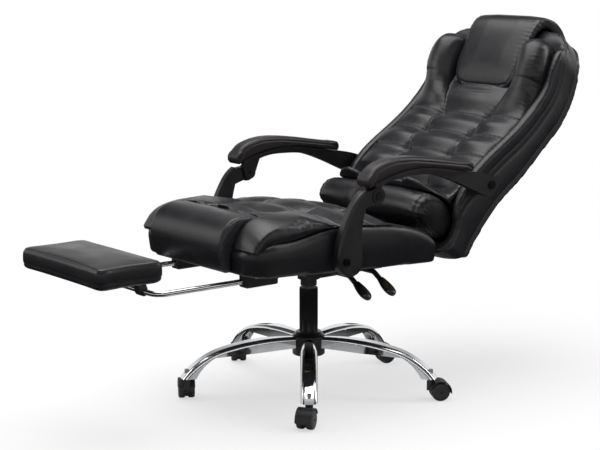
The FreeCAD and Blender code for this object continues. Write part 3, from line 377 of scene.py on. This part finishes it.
seat_tilt = math.radians(3.0)
seat_underside = 373.0
seat_top_line = [(-370, 56), (-345, 72), (-268, 84), (-176, 105), (-111, 115), (-34, 114), (96, 107),
                 (168, 91), (224, 61)]
seat_hem_line = [(-374, 68), (-330, 64), (-290, 50)]
seat_rows = [-105.0, 10.0]
seat_seam_depth = 3.4
seat_tuft_depth = 6.0
stitch_width = 2.6
seat_pleat = 88.0
pillow_half_width = 246.0


def in_seat(points):
    """Chair points as the seat's own across, back and up."""
    y = points[:, 1]
    z = points[:, 2] - seat_underside
    back = y * math.cos(seat_tilt) - z * math.sin(seat_tilt)
    up = y * math.sin(seat_tilt) + z * math.cos(seat_tilt)
    return points[:, 0], back, up - np.interp(back, *np.array(seat_top_line).T)


def tufting(across, along, rows, pleats):
    """Distance from the nearest seam of a tufted grid, and the place along it."""
    gap = np.full(len(across), 1e9)
    place = np.zeros(len(across))
    for line in rows + pleats:
        off, run, _ = from_line(np.stack([across, along], 1), line)
        closer = off < gap
        gap[closer] = off[closer]
        place[closer] = run[closer]
    return gap, place


def near_spots(across, along, spots):
    """Distance from the nearest tuft, and the angle round it."""
    gap = np.full(len(across), 1e9)
    angle = np.zeros(len(across))
    for x, y in spots:
        off = np.hypot(across - x, along - y)
        closer = off < gap
        gap[closer] = off[closer]
        angle[closer] = np.arctan2(along - y, across - x)[closer]
    return gap, angle


seat_cross_seams = [[(-300, row), (300, row)] for row in seat_rows]
seat_pleats = [[(side * seat_pleat, -262), (side * (seat_pleat + 7), -160), (side * seat_pleat, seat_rows[0]),
                (side * (seat_pleat + 7), -45), (side * seat_pleat, seat_rows[1]),
                (side * (seat_pleat + 4), 95)] for side in (-1, 1)]
seat_tufts = [(side * seat_pleat, row) for side in (-1, 1) for row in seat_rows]
seat_pillow = skin_over("seat_pillow", ["seat_pillow"], quad=5 * mm, relax=4)
points = points_of(seat_pillow)
x, v, up = in_seat(points)
seam_gap, _ = tufting(x, v, seat_cross_seams, seat_pleats)
top = normals_of(seat_pillow)[:, 2] > 0.35
held = np.where(top, np.clip(1.3 - seam_gap / 9, 0, 1), 0)
held = np.maximum(held, ramp(9 - up, 6))
stuff(seat_pillow, held, pressure=3.0, cap=9.0, slack=0.004)
finer(seat_pillow)
points = points_of(seat_pillow)
normals = normals_of(seat_pillow)
x, v, up = in_seat(points)
seam_gap, seam_place = tufting(x, v, seat_cross_seams, seat_pleats)
tuft_gap, tuft_angle = near_spots(x, v, seat_tufts)
top = np.clip(normals[:, 2] * 2 - 0.4, 0, 1)
edge_gap = np.hypot(np.clip(pillow_half_width - np.abs(x), 0, None), np.clip(up - 6, 0, None))
depth = seat_seam_depth * groove(seam_gap, stitch_width) + seat_tuft_depth * groove(tuft_gap, 15)
depth += puckers(tuft_angle * 24, tuft_gap, depth=0.8, pitch=25, reach=20, seed=1.0) * (tuft_gap > 5)
depth += puckers(seam_place, seam_gap, depth=0.3, pitch=15, reach=9, seed=2.0)
sides = ramp(np.abs(x) - 150, 60)
gather = puckers(v, edge_gap, depth=0.8, pitch=13, reach=14, seed=3.0) * sides
points -= normals * (depth * top + gather)[:, None]
height = up + np.interp(v, *np.array(seat_top_line).T)
wing = ramp(np.abs(x) - 145, 50)
hem_height = np.interp(v, *np.array(seat_hem_line).T)
hem_lift = np.clip(hem_height - height, 0, None)
points[:, 2] += hem_lift * 0.6 * wing * ramp(-285 - v, 20)
points[:, 1] += np.clip(hem_lift - 4, 0, 8) * 0.6 * wing * (v < -340)
points[:, 2] -= 15 * ramp(np.abs(x) - 100, 120) * ramp(v + 200, 70) * ramp(up, 18)
move_points(seat_pillow, points)
# Lighter along its seams: scuffing and a painted highlight.
mark_seam_sheen_and_scuff(seat_pillow, 0.7 * groove(seam_gap, 6) * top)
upholster(seat_pillow, "seat", ["seat_pillow"], leather)


# Apron: a padded panel that runs from a crease on the seat's top down over its nose, with a
# narrow gusset at each side. It is sewn to the pillow behind and stapled under the board.

apron_half_width = 158.0
apron = skin_over("seat_apron", ["seat_apron"], quad=6 * mm, relax=4)
points = points_of(apron)
x, v, up = in_seat(points)
held = ramp(np.abs(x) - (apron_half_width - 10), 4)
inner = (normals_of(apron)[:, 1] > 0.3) | (normals_of(apron)[:, 2] < -0.3)
held = np.maximum(held, inner.astype(float))
held = np.maximum(held, ramp(v + 292, 8))
stuff(apron, held, pressure=2.0, cap=7.0, slack=0.0)
finer(apron)
points = points_of(apron)
normals = normals_of(apron)
rim = np.abs(np.abs(points[:, 0]) - (apron_half_width - 3))
ripple = puckers(points[:, 2] - points[:, 1], np.abs(apron_half_width - np.abs(points[:, 0])), depth=0.5,
                 pitch=16, reach=20, seed=4.0)
points -= normals * (2.2 * groove(rim, stitch_width) * (np.abs(normals[:, 0]) < 0.9) + ripple)[:, None]
move_points(apron, points)
# Lighter along its seams: scuffing and a painted highlight.
mark_seam_sheen_and_scuff(apron, 0.6 * groove(rim, 5))
upholster(apron, "seat", ["seat_apron"], leather)


# Back cushion: moulded foam over a curved plywood shell, upholstered with a front, a rear panel
# and side gussets. The gussets' seams show as fine lines just inside the edges.

back_front = [(252, 374), (290, 412), (309, 445), (318, 480), (345, 512), (395, 548), (445, 585), (490, 614),
              (548, 648), (606, 692), (664, 748), (692, 786), (706, 825), (714, 868), (728, 905), (755, 944)]
back_rear = [(352, 363), (366, 389), (399, 429), (436, 470), (474, 504), (550, 557), (627, 623), (706, 693),
             (745, 748), (767, 805), (781, 850), (801, 884), (821, 907), (820, 934)]
back_half_width = 246.0
gusset_seam_width = 2.4
rear_seam_inset = 13
front_seam_inset = 9
back_cushion = skin_over("back_cushion", ["back_base", "back_board"], quad=6 * mm, relax=6)
finer(back_cushion)
points = points_of(back_cushion)
normals = normals_of(back_cushion)
from_rear, _, _ = from_line(points[:, 1:], back_rear)
from_front, _, _ = from_line(points[:, 1:], back_front)
gusset = np.clip(np.abs(normals[:, 0]) * 2 - 0.6, 0, 1)
flank = ramp(np.abs(points[:, 0]) - (back_half_width - 60), 60)
seam = groove(from_rear - rear_seam_inset, gusset_seam_width)
seam = seam + 0.8 * groove(from_front - front_seam_inset, gusset_seam_width)
belly = np.sin(ramp(from_rear, from_rear + from_front + 1) * np.pi) * 3.0 * flank
panel_gap = np.abs(points[:, 0]) - (back_half_width - rear_seam_inset)
panel = groove(panel_gap, gusset_seam_width) * (from_rear < 8)
padding = 5.5 * ramp(16 - from_rear, 10)
points += normals * (gusset * (belly - 2.4 * seam) - 2.0 * panel + padding)[:, None]
move_points(back_cushion, points)
# Lighter along its seams: scuffing and a painted highlight.
mark_seam_sheen_and_scuff(back_cushion, 0.5 * gusset * seam)
upholster(back_cushion, "back", ["back_base"], leather)


# Back pillow: one loose-filled cover from the loins to the top, its middle tufted by two pleats
# and three cross seams. Beside the head pillow it swells into two wings, gathered on their seam.

back_rows = [300.0, 385.0, 470.0]
out_of_back = np.array([0, -0.72, 0.69])
up_back = np.array([0, 0.64, 0.77])
back_pleat = 88.0
back_seam_depth = 3.6
back_tuft_depth = 7.0
back_pillow = skin_over("back_pillow", ["back_pillow"], quad=5 * mm, relax=4)


def on_back(points):
    """Chair points as across the back, up along it, and out from it."""
    _, place, side = from_line(points[:, 1:], back_front)
    return points[:, 0], place, side


def back_width(place):
    """Half the pillow's width at a place up the back."""
    return np.interp(place, [112, 160, 655, 695, 722, 736], [206, 212, 214, 208, 194, 174])


back_cross_seams = [[(-300, row), (300, row)] for row in back_rows]
back_pleats = []
for side in (-1, 1):
    pleat = [(side * back_pleat, 120)]
    for low, high in zip(back_rows, back_rows[1:]):
        middle = (low + high) / 2
        bulge = side * (back_pleat + 6)
        pleat += [(side * back_pleat, low), (bulge, middle - 12), (bulge, middle + 12)]
    pleat += [(side * back_pleat, 470), (side * 98, 505), (side * 112, 545), (side * 122, 585),
              (side * 124, 640)]
    back_pleats.append(pleat)
back_tufts = [(side * back_pleat, row) for side in (-1, 1) for row in back_rows]
x, place, out = on_back(points_of(back_pillow))
seam_gap, _ = tufting(x, place, back_cross_seams, back_pleats)
front = normals_of(back_pillow) @ out_of_back > 0.3
held = np.where(front, np.clip(1.3 - seam_gap / 9, 0, 1), 0)
held = np.maximum(held, ramp(14 - out, 6))
rim = back_width(place) - np.abs(x)
held = np.maximum(held, np.clip(1.2 - np.abs(rim) / 8, 0, 1) * ~front)
stuff(back_pillow, held, pressure=3.0, cap=8.0, slack=0.0)
finer(back_pillow)
points = points_of(back_pillow)
normals = normals_of(back_pillow)
x, place, out = on_back(points)
seam_gap, seam_place = tufting(x, place, back_cross_seams, back_pleats)
tuft_gap, tuft_angle = near_spots(x, place, back_tufts)
front = np.clip((normals @ out_of_back) * 2 - 0.4, 0, 1)
rim = np.clip(back_width(place) - np.abs(x), 0, None)
depth = back_seam_depth * groove(seam_gap, stitch_width) + back_tuft_depth * groove(tuft_gap, 14)
depth += puckers(tuft_angle * 24, tuft_gap, depth=0.8, pitch=25, reach=20, seed=1.0) * (tuft_gap > 5)
depth += puckers(seam_place, seam_gap, depth=0.3, pitch=15, reach=9, seed=2.0)
depth += puckers(place, rim, depth=0.8, pitch=12, reach=10, seed=5.0)
points -= normals * (depth * front)[:, None]
wing = ramp(place - 560, 90) * ramp(np.abs(x) - 125, 50)
edge = ramp(np.abs(x) - 140, 60) * ramp(out - 15, 15)
points[:, 0] += np.sign(x) * (7 + 3 * wing) * edge
points += (wing * 6 * ramp(out, 20))[:, None] * out_of_back
points += (wing * 14 * ramp(place - 620, 110))[:, None] * up_back
move_points(back_pillow, points)
# Lighter along its seams: scuffing and a painted highlight.
mark_seam_sheen_and_scuff(back_pillow, 0.7 * groove(seam_gap, 6) * front)
upholster(back_pillow, "back", ["back_pillow"], leather)


# Head pillow: a flat pad that is folded over the top of the back and fastened behind. Its lower
# corners are round, and a hem runs along its edge.

head_edge = [(-134, 830), (-121, 590), (-116, 562), (-100, 543), (-68, 536), (68, 536), (100, 543),
             (116, 562), (121, 590), (134, 830)]
head_line = [(640, 790), (648, 826), (668, 872), (694, 918), (718, 955), (745, 978), (782, 979), (822, 956),
             (852, 913)]
back_lean = math.radians(50.0)
hem_inset = 8


def up_the_back(points):
    """Chair points as seen square to the back: across it, and up along its lean."""
    up = (points[:, 1] - 300) * math.cos(back_lean) + (points[:, 2] - 370) * math.sin(back_lean)
    return np.stack([points[:, 0], up], 1)


head_pillow = skin_over("head_pillow", ["head_pillow"], quad=5 * mm, relax=5)
finer(head_pillow)
points = points_of(head_pillow)
normals = normals_of(head_pillow)
outer_gap, _, _ = from_line(points[:, 1:], head_line)
hem_gap, hem_place, _ = from_line(up_the_back(points), head_edge)
dome = np.sqrt(ramp(hem_gap, 70)) * ramp(10 - outer_gap, 6)
points += normals * (7.0 * dome)[:, None]
hem = groove(hem_gap - hem_inset, 2.2) * (outer_gap < 10)
ripple = puckers(hem_place, np.abs(hem_gap - hem_inset), depth=0.5, pitch=14, reach=14, seed=2.5)
ripple = ripple * (outer_gap < 10)
move_points(head_pillow, points - normals * (1.6 * hem + ripple)[:, None])
# Lighter along its hem: scuffing and a painted highlight.
mark_seam_sheen_and_scuff(head_pillow, 0.6 * hem)
upholster(head_pillow, "back", ["head_pillow"], leather)


# Lumbar pillow: a stuffed roll across the loins, sewn shut at each end with a gathered seam
# inside the round end cap.

lumbar_seam = 196.0
lumbar_axis = np.array([266.0, 470.0])
lumbar = skin_over("lumbar_pillow", ["lumbar_pillow"], quad=6 * mm, relax=6)
points = points_of(lumbar)
held = np.clip(1.4 - np.abs(np.abs(points[:, 0]) - lumbar_seam) / 6, 0, 1)
held = np.maximum(held, ramp(points[:, 1] - 318, 10))
stuff(lumbar, held, pressure=3.0, cap=5.0, slack=0.002)
finer(lumbar)
points = points_of(lumbar)
normals = normals_of(lumbar)
arm = points[:, 1:] - lumbar_axis
round_place = np.arctan2(arm[:, 1], arm[:, 0]) * 70
end_gap = np.abs(np.abs(points[:, 0]) - lumbar_seam)
depth = 3.6 * groove(end_gap, 3.0) + puckers(round_place, end_gap, depth=0.9, pitch=15, reach=18, seed=6.0)
move_points(lumbar, points - normals * depth[:, None])
# Lighter along its end seams: scuffing and a painted highlight.
mark_seam_sheen_and_scuff(lumbar, 0.6 * groove(end_gap, 6))
upholster(lumbar, "back", ["lumbar_pillow"], leather)


# Arms: a moulded nylon upright on a bolt in the seat's side, a moulded beam that turns on the
# upright's knuckle, and a foam pad in brown-black leather glued and stapled onto the beam.

arm_plastic = moulded_plastic("Satin moulded nylon", ("#101011", "#19191b"), roughness=0.42, grain=1.6 * mm,
                              depth=0.18 * mm)
arm_leather = pu_leather("Brown-black PU leather", "#171314", "#211b1c", roughness=0.42, grain=2.4 * mm)
arm_top_line = [(-40, 591), (-50, 605), (-41, 624), (-27, 640), (0, 652), (41, 660), (109, 659), (215, 644),
                (298, 631), (317, 620)]
for name in ("left", "right"):
    finish_nodes([name + "_upright", name + "_arm_frame"], arm_plastic)
    finish_nodes([name + "_knuckle_pin"], hub_plastic)
    pad = skin_over(name + "_arm_pad_cover", [name + "_arm_pad"], quad=4 * mm, relax=4)
    finer(pad)
    points = points_of(pad)
    normals = normals_of(pad)
    gap, _, _ = from_line(points[:, 1:], arm_top_line)
    flank = np.clip(np.abs(normals[:, 0]) * 2 - 0.7, 0, 1)
    seam = groove(gap - 11, 1.8) * flank
    move_points(pad, points - normals * (1.5 * seam)[:, None])
    # Lighter along its seam: scuffing and a painted highlight.
    mark_seam_sheen_and_scuff(pad, 0.5 * seam)
    upholster(pad, name + "_arm", [name + "_arm_pad"], arm_leather)
finish_nodes(["upright_bolts", "arm_screws"], black_oxide)


# Footrest: a bent chromed tube that slides in two moulded guides under the seat, and a padded
# board that turns on the tube's cross bar in two moulded saddles.

finish_nodes(["footrest_frame"], leg_chrome)
finish_nodes(["footrest_guides", "footrest_saddles"], caster_plastic)
footrest_centre = np.array([0.0, -675.0])
footrest_half = np.array([179.0, 87.0])
footrest = skin_over("footrest_cushion", ["footrest_pad"], quad=5 * mm, relax=2)
points = points_of(footrest)
share = np.abs(points[:, :2] - footrest_centre) / footrest_half
corner = (np.clip(share[:, 0] * share[:, 1], 0, 1) ** 5)[:, None]
points[:, :2] += (points[:, :2] - footrest_centre) * 0.05 * corner
points[:, :2] += np.sign(points[:, :2] - footrest_centre) * 2.5 * np.clip(share * 4 - 3, 0, 1)
points[:, 2] -= np.clip(points[:, 2] - 456, 0, None) * 0.45 + 6 * ramp(430 - points[:, 2], 16)
move_points(footrest, points)
upper_seam = 452.0
lower_seam = 418.0
seam_width = 2.4
held = np.clip(1.5 - np.abs(points[:, 2] - upper_seam) / 5, 0, 1) * (np.abs(normals_of(footrest)[:, 2]) < 0.8)
held = np.maximum(held, ramp(416 - points[:, 2], 3))
stuff(footrest, held, pressure=1.0, cap=2.0, slack=0.0)
finer(footrest)
points = points_of(footrest)
normals = normals_of(footrest)
flank = np.clip(1.4 - np.abs(normals[:, 2]) * 1.6, 0, 1)
seam = (groove(points[:, 2] - upper_seam, seam_width) + groove(points[:, 2] - lower_seam, seam_width)) * flank
move_points(footrest, points - normals * (1.6 * seam)[:, None])
# Lighter along its seams: scuffing and a painted highlight.
mark_seam_sheen_and_scuff(footrest, 0.5 * seam)
upholster(footrest, "footrest_panel", ["footrest_pad"], leather)


# Studio: a pale floor that runs out of sight, a white backdrop, three softboxes above, in front
# and behind, and the camera at the photograph's angle.

floor_mesh = bmesh.new()
bmesh.ops.create_grid(floor_mesh, x_segments=1, y_segments=1, size=60)
floor_data = bpy.data.meshes.new("floor")
floor_mesh.to_mesh(floor_data)
floor_mesh.free()
floor = bpy.data.objects.new("floor", floor_data)
bpy.context.scene.collection.objects.link(floor)
# Studio paper: matt white, plain to the eye, with the chair's shadow on it near its foot.
paper, tree, surface, place = new_finish("White studio paper")
surface.inputs["Base Color"].default_value = colour("#f4f4f4")
surface.inputs["Roughness"].default_value = 0.8
surface.inputs["Specular IOR Level"].default_value = 0.2
path = add_node(tree, "ShaderNodeLightPath")
reach = add_node(tree, "ShaderNodeVectorMath", {"operation": "LENGTH"}, {0: place})
faded = add_node(tree, "ShaderNodeMapRange", {"interpolation_type": "SMOOTHSTEP", "From Min": 0.55,
                                              "From Max": 1.5, "To Min": 0.6, "To Max": 1.0},
                 {"Value": reach.outputs["Value"]})
seen = add_node(tree, "ShaderNodeMath", {"operation": "MAXIMUM"}, {0: path.outputs["Is Camera Ray"],
                                                                   1: path.outputs["Is Transmission Ray"]})
share = add_node(tree, "ShaderNodeMath", {"operation": "MULTIPLY"}, {0: seen.outputs["Value"],
                                                                     1: faded.outputs["Result"]})
lit = add_node(tree, "ShaderNodeEmission", {"Color": (1, 1, 1, 1), "Strength": 1.0})
shown = add_node(tree, "ShaderNodeMixShader", None, {0: share.outputs["Value"], 1: surface.outputs["BSDF"],
                                                     2: lit.outputs["Emission"]})
far = add_node(tree, "ShaderNodeMapRange", {"From Min": 0.28, "From Max": 0.7, "To Min": 0.0, "To Max": 1.0},
               {"Value": reach.outputs["Value"]})
mirror_dark = add_node(tree, "ShaderNodeMath", {"operation": "MULTIPLY"}, {0: path.outputs["Is Glossy Ray"],
                                                                          1: far.outputs["Result"]})
shade = add_node(tree, "ShaderNodeEmission", {"Color": (1, 1, 1, 1), "Strength": 0.03})
whole = add_node(tree, "ShaderNodeMixShader", None, {0: mirror_dark.outputs["Value"],
                                                     1: shown.outputs["Shader"],
                                                     2: shade.outputs["Emission"]})
tree.links.new(whole.outputs["Shader"], tree.nodes["Material Output"].inputs["Surface"])
floor_data.materials.append(paper)

world = bpy.data.worlds.new("Studio")
bpy.context.scene.world = world
world.use_nodes = True
tree = world.node_tree
tree.nodes.clear()
path = add_node(tree, "ShaderNodeLightPath")
direction = add_node(tree, "ShaderNodeTexCoord").outputs["Generated"]
height = add_node(tree, "ShaderNodeSeparateXYZ", None, {"Vector": direction}).outputs["Z"]
walls = add_node(tree, "ShaderNodeMapRange", {"interpolation_type": "SMOOTHSTEP", "From Min": 0.26,
                                              "From Max": 0.42, "To Min": 0.95, "To Max": 0.08},
                 {"Value": height})
ceiling = add_node(tree, "ShaderNodeMapRange", {"interpolation_type": "SMOOTHSTEP", "From Min": 0.75,
                                                "From Max": 0.92, "To Min": 0.0, "To Max": 0.6},
                   {"Value": height})
tone = add_node(tree, "ShaderNodeMath", {"operation": "ADD"}, {0: walls.outputs["Result"],
                                                               1: ceiling.outputs["Result"]})
backdrop = add_node(tree, "ShaderNodeBackground", None, {"Color": tone.outputs["Value"]})
room = add_node(tree, "ShaderNodeBackground", {"Color": (1, 1, 1, 1), "Strength": 0.45})
white = add_node(tree, "ShaderNodeBackground", {"Color": (1, 1, 1, 1), "Strength": 1.0})
mirrored = add_node(tree, "ShaderNodeMixShader", None, {0: path.outputs["Is Glossy Ray"],
                                                        1: room.outputs["Background"],
                                                        2: backdrop.outputs["Background"]})
seen = add_node(tree, "ShaderNodeMath", {"operation": "MAXIMUM"}, {0: path.outputs["Is Camera Ray"],
                                                                   1: path.outputs["Is Transmission Ray"]})
sky = add_node(tree, "ShaderNodeMixShader", None, {0: seen.outputs["Value"], 1: mirrored.outputs["Shader"],
                                                   2: white.outputs["Background"]})
add_node(tree, "ShaderNodeOutputWorld", None, {"Surface": sky.outputs["Shader"]})


def softbox(name, place, aim, size, power):
    """A square or oblong diffused lamp that points at a spot."""
    lamp = bpy.data.lights.new(name, "AREA")
    lamp.shape = "RECTANGLE"
    lamp.size, lamp.size_y = size
    lamp.energy = power
    holder = bpy.data.objects.new(name, lamp)
    holder.location = place
    holder.rotation_euler = (Vector(aim) - Vector(place)).to_track_quat("-Z", "Y").to_euler()
    bpy.context.scene.collection.objects.link(holder)


softbox("overhead_softbox", place=(-0.3, -0.1, 2.6), aim=(0, 0, 0.4), size=(2.4, 2.4), power=60)
softbox("front_softbox", place=(-1.6, -2.2, 1.9), aim=(0, 0, 0.6), size=(1.6, 1.2), power=14)
softbox("rear_strip", place=(1.4, 2.2, 2.2), aim=(0, 0.3, 0.6), size=(0.6, 2.0), power=25)

camera_data = bpy.data.cameras.new("camera")
camera_data.lens = 95.56
camera = bpy.data.objects.new("camera", camera_data)
camera.location = (3.2627, -2.6305, 1.1986)
back_of_camera = Vector((0.76988, -0.61368, 0.17518))
camera.rotation_euler = back_of_camera.to_track_quat("Z", "Y").to_euler()
bpy.context.scene.collection.objects.link(camera)
bpy.context.scene.camera = camera
bpy.context.scene.view_settings.view_transform = "Standard"
